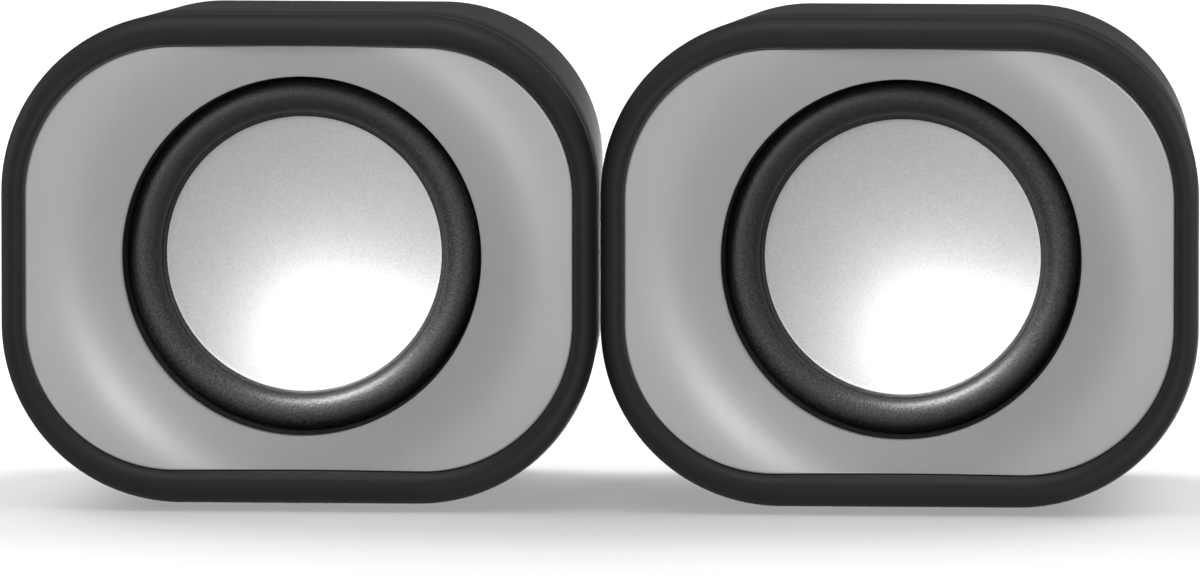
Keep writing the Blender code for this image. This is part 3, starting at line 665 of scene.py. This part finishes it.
def make_front_frame(side):
    inside = SKIRT_INSET + SKIRT_WALL
    rings = [share_outline(share, depth) for share, depth in LIP_PROFILE]
    rings += [body_outline(RIM_END_Y - before, inset) for before, inset in RIM_EDGE_PROFILE]
    rings += [
        body_outline(RIM_END_Y, SKIRT_INSET),
        body_outline(SKIRT_END_Y, SKIRT_INSET),
        body_outline(SKIRT_END_Y, inside),
        body_outline(WEB_REAR_Y, inside),
        circle(WEB_HOLE_RADIUS, WEB_REAR_Y),
        circle(WEB_HOLE_RADIUS, WEB_FRONT_Y),
        [behind_trim(SEAT_LEDGE_SHARE, angle, WEB_FRONT_Y) for angle in ANGLES],
        [behind_trim(SEAT_LEDGE_SHARE, angle) for angle in ANGLES],
        [behind_trim(0.0, angle) for angle in ANGLES],
        share_outline(0.0, LIP_INNER_Y),
    ]
    mesh = loft(f"{side}_frame_moulding", rings, "joined")
    obj = piece(
        f"{side}_frame_moulding", mesh, "moulding", side, None, (f"{side}_front_frame",)
    )

    def posts(bm):
        rods_into(bm, POST_PLACES, POST_RADIUS, POST_START_Y, POST_END_Y)
        rods_into(bm, EAR_PLACES, EAR_BOSS_RADIUS, EAR_BOSS_START_Y, EAR_BOSS_END_Y)

    def pilots(bm):
        rods_into(bm, POST_PLACES, PILOT_RADIUS, POST_PILOT_START_Y, POST_END_Y + OVERSHOOT)
        rods_into(bm, EAR_PLACES, PILOT_RADIUS, EAR_PILOT_START_Y, WEB_REAR_Y + OVERSHOOT)

    with_booleans(obj, [("UNION", cutter("posts", posts)), ("DIFFERENCE", cutter("pilots", pilots))])
    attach(obj, f"{side}_cabinet")


# Rear shell.

# The softened front edge, as (inset, behind the shell's front).
SHELL_EDGE_PROFILE = [
    (0.00035, 0.0),
    (0.00012, 0.00010),
    (0.0, 0.00035),
]
WALL_RINGS = 4
ROUND_RINGS = 10
INNER_ROUND_RINGS = 5

WELL_WALL = 0.0012
WELL_CHAMFER = 0.0006
WELL_CHAMFER_START = 0.0005
WELL_CHAMFER_END = 0.0001
PASS_RADIUS = 0.0016
PASS_START_Y = 0.033
PASS_END_Y = 0.040
FOOT_POCKET_OPENING = 0.001

REAR_HOLES = {
    "left": [("left_cord_grommet", 0.0035)],
    "right": [
        ("right_cord_grommet", 0.0035),
        ("right_supply_grommet", 0.0035),
        ("right_potentiometer", 0.0037),
    ],
}


def shell_rings():
    front, straight = SHELL_FRONT_Y, SHELL_REAR_Y - REAR_ROUND
    walls = [front + (straight - front) * i / WALL_RINGS for i in range(1, WALL_RINGS + 1)]
    quarter = [math.pi / 2 * i / ROUND_RINGS for i in range(1, ROUND_RINGS + 1)]
    turns = [straight + REAR_ROUND * math.sin(turn) for turn in quarter]
    outside = [body_outline(front, inset, at=front + behind) for inset, behind in SHELL_EDGE_PROFILE]
    outside += [body_outline(depth) for depth in walls + turns]
    inside = [body_outline(front, WALL), body_outline(straight, WALL)]
    for i in range(1, INNER_ROUND_RINGS + 1):
        turn = math.pi / 2 * i / INNER_ROUND_RINGS
        pull = (REAR_ROUND - WALL) * (1.0 - math.cos(turn))
        depth = straight + (SHELL_REAR_Y - WALL - straight) * math.sin(turn)
        inside.append(body_outline(straight, WALL + pull, at=depth))
    return outside[::-1] + inside


def slab_into(bm, low, high):
    low, high = Vector(low), Vector(high)
    size = Matrix.Diagonal((*(high - low), 1.0))
    bmesh.ops.create_cube(bm, size=1.0, matrix=Matrix.Translation((low + high) / 2) @ size)


def make_rear_shell(side):
    mesh = loft(f"{side}_shell_moulding", shell_rings(), "capped")
    obj = piece(
        f"{side}_shell_moulding", mesh, "moulding", side, None, (f"{side}_rear_shell",)
    )
    inner_rear = SHELL_REAR_Y - WALL

    def bosses(bm):
        start, end = POST_END_Y + CLEARANCE, inner_rear + WALL / 2
        rods_into(bm, POST_PLACES, WELL_RADIUS + WELL_WALL, start, end)

    def wells(bm):
        profile = [
            (0.0, WELL_SEAT_Y),
            (WELL_RADIUS, WELL_SEAT_Y),
            (WELL_RADIUS, SHELL_REAR_Y - WELL_CHAMFER_START),
            (WELL_RADIUS + WELL_CHAMFER, SHELL_REAR_Y + WELL_CHAMFER_END),
            (WELL_RADIUS + WELL_CHAMFER, SHELL_REAR_Y + REAR_OVERSHOOT),
            (0.0, SHELL_REAR_Y + REAR_OVERSHOOT),
        ]
        for place in POST_PLACES:
            loft_into(bm, turned_rings(profile, WELL_POINTS, place), "open")

    def screw_holes(bm):
        rods_into(bm, POST_PLACES, PASS_RADIUS, PASS_START_Y, PASS_END_Y)

    def pockets(bm):
        for foot in ("front_foot", "rear_foot"):
            low, high = box(f"{side}_{foot}")
            low, high = low - ORIGIN[side], high - ORIGIN[side]
            slab_into(
                bm,
                (low.x - CLEARANCE, low.y - CLEARANCE, low.z - FOOT_POCKET_OPENING),
                (high.x + CLEARANCE, high.y + CLEARANCE, high.z + CLEARANCE),
            )

    def rear_holes(bm):
        start, end = inner_rear - REAR_OVERSHOOT, SHELL_REAR_Y + REAR_OVERSHOOT
        for node, radius in REAR_HOLES[side]:
            rods_into(bm, [axis_of(node, side)], radius, start, end, GROMMET_POINTS)

    with_booleans(
        obj,
        [
            ("UNION", cutter("bosses", bosses)),
            ("DIFFERENCE", cutter("wells", wells)),
            ("DIFFERENCE", cutter("screw_holes", screw_holes)),
            ("DIFFERENCE", cutter("pockets", pockets)),
            ("DIFFERENCE", cutter("rear_holes", rear_holes)),
        ],
    )
    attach(obj, f"{side}_cabinet")


# Driver: surround and cone.

SURROUND_THICKNESS = 0.0004
SURROUND_INNER_RADIUS = 0.01845
ROLL_INNER_RADIUS = 0.0190
ROLL_OUTER_RADIUS = 0.0237
ROLL_FULLNESS = 0.94
ROLL_STEPS = 28

# How far the landings' edges are softened: across, and in depth.
LANDING_SOFT = 0.00010
LANDING_DROP = 0.00012
ROLL_FOOT = 0.0004
ROLL_FOOT_DROP = 0.00006

CONE_THICKNESS = 0.0008
CONE_STEPS = 40
DISH_RADIUS = 0.01835

# The dish's rim, as (outwards, behind the front) from the dish's edge.
CONE_RIM_PROFILE = [
    (-0.00012, 0.00006),
    (0.0, 0.00001),
    (0.00020, 0.0),
]


def make_surround(side):
    """The half-roll, with a landing on the cone's rim and one under the gasket."""
    inner, outer = SURROUND_INNER_RADIUS, radius_of(f"{side}_surround")
    base = SURROUND_REAR_Y - SURROUND_THICKNESS
    centre = (ROLL_INNER_RADIUS + ROLL_OUTER_RADIUS) / 2
    reach = (ROLL_OUTER_RADIUS - ROLL_INNER_RADIUS) / 2
    under = reach - SURROUND_THICKNESS
    height = base - SURROUND_FRONT_Y
    roll = [math.pi * i / ROLL_STEPS for i in range(ROLL_STEPS + 1)]
    front = [(inner, base + LANDING_DROP), (inner + LANDING_SOFT, base)]
    for angle in roll:
        lift = height * math.sin(angle) ** ROLL_FULLNESS
        front.append((centre - reach * math.cos(angle), base - lift))
    front += [(ROLL_OUTER_RADIUS + ROLL_FOOT, base + ROLL_FOOT_DROP), (outer, base)]
    rear = [(outer, SURROUND_REAR_Y)]
    for angle in roll:
        lift = height * math.sin(angle)
        rear.append((centre + under * math.cos(angle), SURROUND_REAR_Y - lift))
    rear += [(inner + LANDING_SOFT, SURROUND_REAR_Y), (inner, SURROUND_REAR_Y - LANDING_DROP)]
    mesh = turned(f"{side}_half_roll", front + rear, DRIVER_POINTS, sharp_angle=60)
    obj = piece(f"{side}_half_roll", mesh, "surround", side, None, (f"{side}_surround",))
    flex(obj)


def flex(obj):
    """Bakes a ring's placement into its mesh; the ring is attached to no body."""
    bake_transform(obj)


def make_cone(side):
    """One smooth dish with a rolled rim, on a flat flange that carries the surround."""
    dish = CONE_REAR_Y - CONE_FRONT_Y - CONE_THICKNESS
    outer = radius_of(f"{side}_cone")
    radii = [DISH_RADIUS * i / CONE_STEPS for i in range(CONE_STEPS + 1)]

    def depth_at(radius):
        return CONE_FRONT_Y + dish * (1.0 - (radius / DISH_RADIUS) ** 2)

    front = [(radius, depth_at(radius)) for radius in radii[:-1]]
    rim = [
        (DISH_RADIUS + outwards, CONE_FRONT_Y + behind) for outwards, behind in CONE_RIM_PROFILE
    ]
    rim += [(outer, CONE_FRONT_Y), (outer, CONE_FRONT_Y + CONE_THICKNESS)]
    rear = [(radius, depth_at(radius) + CONE_THICKNESS) for radius in radii[::-4]]
    mesh = turned(f"{side}_dish", front + rim + rear, DRIVER_POINTS, closed=False, sharp_angle=60)
    piece(f"{side}_dish", mesh, "cone", side, f"{side}_cone_assembly", (f"{side}_cone",))


# Rear fittings. A turned section with a third value has its corners rounded by that much.

GROMMET_BORE = 0.0018
GROMMET_GROOVE = 0.0032
GROMMET_INNER_FLANGE = 0.0042
GROMMET_OUTER_FLANGE = 0.0050
GROMMET_NOSE = 0.0029

SHAFT_HOLE_RADIUS = 0.00325
SHAFT_HOLE_END = 0.0072
SHAFT_HOLE_START = 0.0022
KNOB_HOLLOW_RADIUS = 0.0058
KNOB_HOLLOW_END = 0.0020
KNOB_SKIRT_HEIGHT = 0.0014
KNOB_SKIRT_STEP = 0.0003
KNOB_RIBS = 36
RIB_DEPTH = 0.00030
MARK_HALF_WIDTH = 0.00035
MARK_DEPTH = 0.0016
MARK_START, MARK_END = 0.0030, 0.0066

SCREW_TIP_RADIUS = 0.0007
SCREW_TIP_LENGTH = 0.0006
SCREW_CORE_RADIUS = 0.0009
SCREW_CREST_RADIUS = 0.0011
THREAD_START = 0.0010
THREAD_END = 0.0006
THREAD_STEP = 0.00035
SLOT_HALF_LENGTH = 0.0013
SLOT_HALF_WIDTH = 0.00028
SLOT_DEPTH = 0.0008
SLOT_RISE = 0.0005

FOOT_CORNER = 0.0014
SOLE_BEVEL = 0.0003
GROOVE_PLACES = (-0.25, 0.0, 0.25)
GROOVE_HALF_WIDTH = 0.0005
GROOVE_DEPTH = 0.0003
GROOVE_MARGIN = 0.15


def make_grommet(side, node):
    low, high = span(node, side)
    inner_wall = SHELL_REAR_Y - WALL - CLEARANCE
    outer_wall = SHELL_REAR_Y + 0.0001
    profile = filleted(
        [
            (GROMMET_BORE, low, 0.0002),
            (GROMMET_INNER_FLANGE - 0.0002, low, 0.0003),
            (GROMMET_INNER_FLANGE, inner_wall, 0.0001),
            (GROMMET_GROOVE, inner_wall, 0.0),
            (GROMMET_GROOVE, outer_wall, 0.0),
            (GROMMET_OUTER_FLANGE, outer_wall, 0.0003),
            (GROMMET_OUTER_FLANGE - 0.0003, SHELL_REAR_Y + 0.0012, 0.0005),
            (GROMMET_NOSE + 0.0007, SHELL_REAR_Y + 0.0015, 0.0003),
            (GROMMET_NOSE, high, 0.0003),
            (GROMMET_BORE, high, 0.0002),
        ]
    )
    mesh = turned(f"{node}_ring", profile, GROMMET_POINTS, place=axis_of(node, side))
    piece(f"{node}_ring", mesh, "grommet", side, f"{side}_cabinet", (node,))


def make_knob():
    """A ribbed knob, hollow behind, with a mark cut across its face's edge."""
    side = "right"
    node = "right_volume_knob"
    start, end = span(node, side)
    across, up = axis_of(node, side)
    radius = radius_of(node)
    ribbed_radius = radius - KNOB_SKIRT_STEP
    hollow = [
        (0.0, start + SHAFT_HOLE_END),
        (SHAFT_HOLE_RADIUS, start + SHAFT_HOLE_END),
        (SHAFT_HOLE_RADIUS, start + SHAFT_HOLE_START),
        (KNOB_HOLLOW_RADIUS, start + KNOB_HOLLOW_END),
        (KNOB_HOLLOW_RADIUS, start + 0.0001),
        (KNOB_HOLLOW_RADIUS + 0.0002, start),
    ]
    outside = filleted(
        [
            (KNOB_HOLLOW_RADIUS + 0.0002, start, 0.0),
            (radius, start, 0.0003),
            (radius, start + KNOB_SKIRT_HEIGHT, 0.0002),
            (ribbed_radius, start + KNOB_SKIRT_HEIGHT + KNOB_SKIRT_STEP, 0.0001),
            (ribbed_radius, end - 0.0016, 0.0008),
            (radius - 0.0016, end - 0.0001, 0.0008),
            (radius - 0.0026, end - 0.0005, 0.0006),
            (0.0, end - 0.0008, 0.0),
        ],
        closed=False,
    )
    ribs_start = start + KNOB_SKIRT_HEIGHT + 0.0002
    rings = turned_rings(hollow, KNOB_POINTS, (across, up))
    for reach, depth in outside[1:]:
        on_grip = radius - 0.0009 < reach < radius - 0.0001 and depth > ribs_start
        rib_depth = RIB_DEPTH if on_grip else 0.0
        rings += turned_rings([(reach, depth)], KNOB_POINTS, (across, up), KNOB_RIBS, rib_depth)
    mesh = loft("volume_knob_cap", rings, "open", sharp_angle=50)
    obj = piece("volume_knob_cap", mesh, "knob", side, None, (node,))

    def mark(bm):
        low = (across - MARK_HALF_WIDTH, end - MARK_DEPTH, up + MARK_START)
        high = (across + MARK_HALF_WIDTH, end + OVERSHOOT, up + MARK_END)
        slab_into(bm, low, high)

    with_booleans(obj, [("DIFFERENCE", cutter("mark", mark))], sharp_angle=50)
    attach(obj, "volume_control")


def make_case_screw(side, number):
    """A pan-headed screw with a crossed slot. Its thread is a row of rings."""
    node = f"{side}_case_screw_{number}"
    tip, head_end = span(node, side)
    across, up = axis_of(node, side)
    seat = WELL_SEAT_Y + CLEARANCE
    head = radius_of(node)
    profile = [(0.0, tip), (SCREW_TIP_RADIUS, tip + SCREW_TIP_LENGTH)]
    depth = tip + THREAD_START
    on_crest = False
    while depth < seat - THREAD_END:
        profile.append((SCREW_CREST_RADIUS if on_crest else SCREW_CORE_RADIUS, depth))
        on_crest = not on_crest
        depth += THREAD_STEP
    profile += [(SCREW_CREST_RADIUS, seat - 0.0002), (SCREW_CREST_RADIUS, seat)]
    profile += [
        (head * 0.97, seat),
        (head, seat + 0.0002),
        (head, seat + 0.0007),
        (head * 0.93, seat + 0.0011),
        (head * 0.75, head_end - 0.0002),
        (head * 0.45, head_end - 0.00003),
        (0.0, head_end),
    ]
    mesh = turned(f"{node}_steel", profile, SCREW_POINTS, closed=False, place=(across, up))
    obj = piece(f"{node}_steel", mesh, "screw", side, None, (node,))

    def slot(half_x, half_z):
        low = (across - half_x, head_end - SLOT_DEPTH, up - half_z)
        high = (across + half_x, head_end + SLOT_RISE, up + half_z)
        return cutter("slot", lambda bm: slab_into(bm, low, high))

    slots = [slot(SLOT_HALF_LENGTH, SLOT_HALF_WIDTH), slot(SLOT_HALF_WIDTH, SLOT_HALF_LENGTH)]
    with_booleans(obj, [("DIFFERENCE", tool) for tool in slots])
    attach(obj, f"{side}_cabinet")


def make_foot(side, node):
    """A rubber strip with softened edges and three shallow grooves across its sole."""
    low, high = box(node)
    low, high = low - ORIGIN[side], high - ORIGIN[side]
    bm = bmesh.new()
    slab_into(bm, low, high)
    upright = [e for e in bm.edges if abs(e.verts[0].co.z - e.verts[1].co.z) > 0.0005]
    bmesh.ops.bevel(
        bm, geom=upright, offset=FOOT_CORNER, segments=6, affect="EDGES", profile=0.5
    )
    floor_z = min(v.co.z for v in bm.verts)
    sole = [
        e for e in bm.edges
        if len(e.link_faces) == 2 and all(abs(v.co.z - floor_z) < 1e-6 for v in e.verts)
    ]
    bmesh.ops.bevel(bm, geom=sole, offset=SOLE_BEVEL, segments=3, affect="EDGES", profile=0.5)
    mesh = finish_mesh(f"{node}_strip", bm)
    obj = piece(f"{node}_strip", mesh, "foot", side, None, (node,))
    length, margin = high.x - low.x, GROOVE_MARGIN * (high.y - low.y)

    def grooves(bm):
        for share in GROOVE_PLACES:
            middle = (low.x + high.x) / 2 + share * length
            slab_into(
                bm,
                (middle - GROOVE_HALF_WIDTH, low.y + margin, floor_z - OVERSHOOT),
                (middle + GROOVE_HALF_WIDTH, high.y - margin, floor_z + GROOVE_DEPTH),
            )

    with_booleans(obj, [("DIFFERENCE", cutter("grooves", grooves))])
    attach(obj, f"{side}_cabinet")


# CAD nodes that keep their shape get a finished material.

KEPT_NODES = {
    "basket": "steel",
    "gasket": "foam",
    "voice_coil": "coil",
    "spider": "spider_cloth",
    "top_plate": "steel",
    "magnet": "ferrite",
    "yoke": "steel",
    "terminal_strip": "tag_board",
    "lead_plus": "red_wire",
    "lead_minus": "black_wire",
    "amp_board": "circuit_board",
    "amp_chip": "chip",
    "capacitor": "capacitor",
    "potentiometer": "steel",
    "pot_nut": "screw",
    "pot_shaft": "steel",
}


def paint_kept_nodes():
    for name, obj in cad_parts.items():
        short = name.split("_", 1)[1]
        slot = "screw" if short.startswith("driver_screw") else KEPT_NODES.get(short)
        if slot is None:
            continue
        obj.data.materials.clear()
        obj.data.materials.append(MATERIAL[slot])


def make_speakers():
    for side in SIDES:
        make_front_frame(side)
        make_baffle_trim(side)
        make_rear_shell(side)
        make_surround(side)
        make_cone(side)
        make_grommet(side, f"{side}_cord_grommet")
        for number in range(1, 5):
            make_case_screw(side, number)
        for foot in ("front_foot", "rear_foot"):
            make_foot(side, f"{side}_{foot}")
    make_grommet("right", "right_supply_grommet")
    make_knob()
    paint_kept_nodes()


# Studio.

FLOOR_HALF_SIZE = 6.0
FLOOR_DROP = 0.00005
FLOOR_GREYS = ((0.50, 0.50, 0.50), (0.52, 0.52, 0.52))
LIGHT_CENTRE = Vector((0.0, 0.0, 0.03))
LIGHT_TARGET = Vector((0.0, -0.03, 0.03))
WORLD_STRENGTH = 0.28


def make_floor_material():
    material, nodes = new_material("floor_white", specular=0.0)
    shade = nodes.ranged(nodes.noise(8.0), 0.0, 1.0)
    nodes.link(nodes.mixed(shade, *FLOOR_GREYS), nodes.shader.inputs["Base Color"])
    nodes.shader.inputs["Roughness"].default_value = 1.0
    return material


def make_floor():
    bm = bmesh.new()
    bmesh.ops.create_grid(bm, x_segments=2, y_segments=2, size=FLOOR_HALF_SIZE)
    mesh = finish_mesh("floor", bm)
    floor = new_object("floor", mesh, make_floor_material(), (0.0, 0.0, -FLOOR_DROP))
    floor.visible_glossy = False
    return floor


def towards(azimuth, elevation):
    """A unit direction from the pair. Azimuth 0 is straight in front and 90 is to the right, in radians."""
    flat = math.cos(elevation)
    return Vector((flat * math.sin(azimuth), -flat * math.cos(azimuth), math.sin(elevation)))


def soft_box(name, azimuth, elevation, distance, size, power, receivers=None, shadow=True):
    """A soft box at a place round the pair, in degrees and metres, that faces it.

    With receivers, it lights only those pieces. Without shadow, it's a plain fill.
    """
    data = bpy.data.lights.new(name, "AREA")
    data.shape = "RECTANGLE"
    data.size, data.size_y = size
    data.energy = power
    data.use_shadow = shadow
    obj = bpy.data.objects.new(name, data)
    obj.location = LIGHT_CENTRE + distance * towards(math.radians(azimuth), math.radians(elevation))
    obj.rotation_euler = (LIGHT_TARGET - obj.location).to_track_quat("-Z", "Y").to_euler()
    obj.visible_camera = False
    bpy.context.scene.collection.objects.link(obj)
    if receivers:
        chosen = bpy.data.collections.new(f"{name}_receivers")
        for receiver in receivers:
            chosen.objects.link(receiver)
        obj.light_linking.receiver_collection = chosen


def make_lights(floor):
    def both(suffix):
        return [bpy.data.objects[f"{side}_{suffix}"] for side in SIDES]

    ground = [floor]
    rolls, dishes, plates = both("half_roll"), both("dish"), both("trim_plate")
    frames = both("frame_moulding")
    not_casing = {floor, *rolls, *dishes, *plates}
    casings = [obj for obj in bpy.data.objects if obj.type == "MESH" and obj not in not_casing]
    soft_box("floor_fill", 0, 80, 3.0, (3.0, 3.0), 100.0, ground, shadow=False)
    soft_box("floor_rear_left", 222, 42, 1.3, (1.0, 1.0), 15.0, ground)
    soft_box("floor_rear_right", 138, 42, 1.3, (1.0, 1.0), 15.0, ground)
    soft_box("rear", 168, -14, 1.6, (1.4, 0.7), 16.0, casings, shadow=False)
    soft_box("side_right", 98, 16, 1.6, (0.9, 0.9), 6.0, casings)
    soft_box("side_left", -98, 16, 1.6, (0.9, 0.9), 3.0, casings)
    soft_box("top", 0, 80, 1.4, (1.2, 1.0), 2.0)
    soft_box("front", 0, 8, 2.2, (3.2, 2.4), 7.5)
    soft_box("frame_top", 0, 72, 1.4, (1.4, 0.7), 6.5, frames)
    soft_box("frame_low", 30, -30, 1.6, (0.9, 0.6), 4.2, frames, shadow=False)
    soft_box("upper_right", 24, 20, 1.6, (0.6, 0.6), 12.0, plates)
    soft_box("lower_left", -25, -22, 1.6, (0.7, 0.7), 7.0, plates, shadow=False)
    soft_box("dish_key", -27, 31, 1.4, (2.1, 1.3), 27.0, dishes)
    soft_box("roll_key", -45, 56, 1.3, (0.9, 0.7), 62.0, rolls)
    soft_box("roll_front", -24, 14, 1.6, (0.4, 0.4), 5.0, rolls)


def make_world():
    world = bpy.data.worlds.new("studio")
    bpy.context.scene.world = world
    world.use_nodes = True
    background = world.node_tree.nodes["Background"]
    background.inputs["Color"].default_value = (1.0, 1.0, 1.0, 1.0)
    background.inputs["Strength"].default_value = WORLD_STRENGTH


# Camera: a little above and to the right of straight in front, with a long lens.

CAMERA_AZIMUTH = math.radians(3.9)
CAMERA_ELEVATION = math.radians(4.95)
CAMERA_DISTANCE = 2.6
SENSOR_WIDTH_MM = 36.0
IMAGE_WIDTH_AT_FRONT = 0.1598
AIM_BELOW_AXIS = 0.0038
AIM_RIGHT = 0.0003
CLIP = (0.1, 60.0)


def make_camera():
    front = ORIGIN["left"]
    target = Vector((AIM_RIGHT, front.y, front.z - AIM_BELOW_AXIS))
    back = towards(CAMERA_AZIMUTH, CAMERA_ELEVATION)
    data = bpy.data.cameras.new("camera")
    data.sensor_width = SENSOR_WIDTH_MM
    data.lens = SENSOR_WIDTH_MM * CAMERA_DISTANCE / IMAGE_WIDTH_AT_FRONT
    data.clip_start, data.clip_end = CLIP
    camera = bpy.data.objects.new("camera", data)
    camera.location = target + back * CAMERA_DISTANCE
    camera.rotation_euler = (-back).to_track_quat("-Z", "Y").to_euler()
    bpy.context.scene.collection.objects.link(camera)
    bpy.context.scene.camera = camera


make_camera()
make_speakers()
make_lights(make_floor())
make_world()
bpy.context.scene.view_settings.view_transform = "Standard"
bpy.context.scene.view_settings.look = "None"
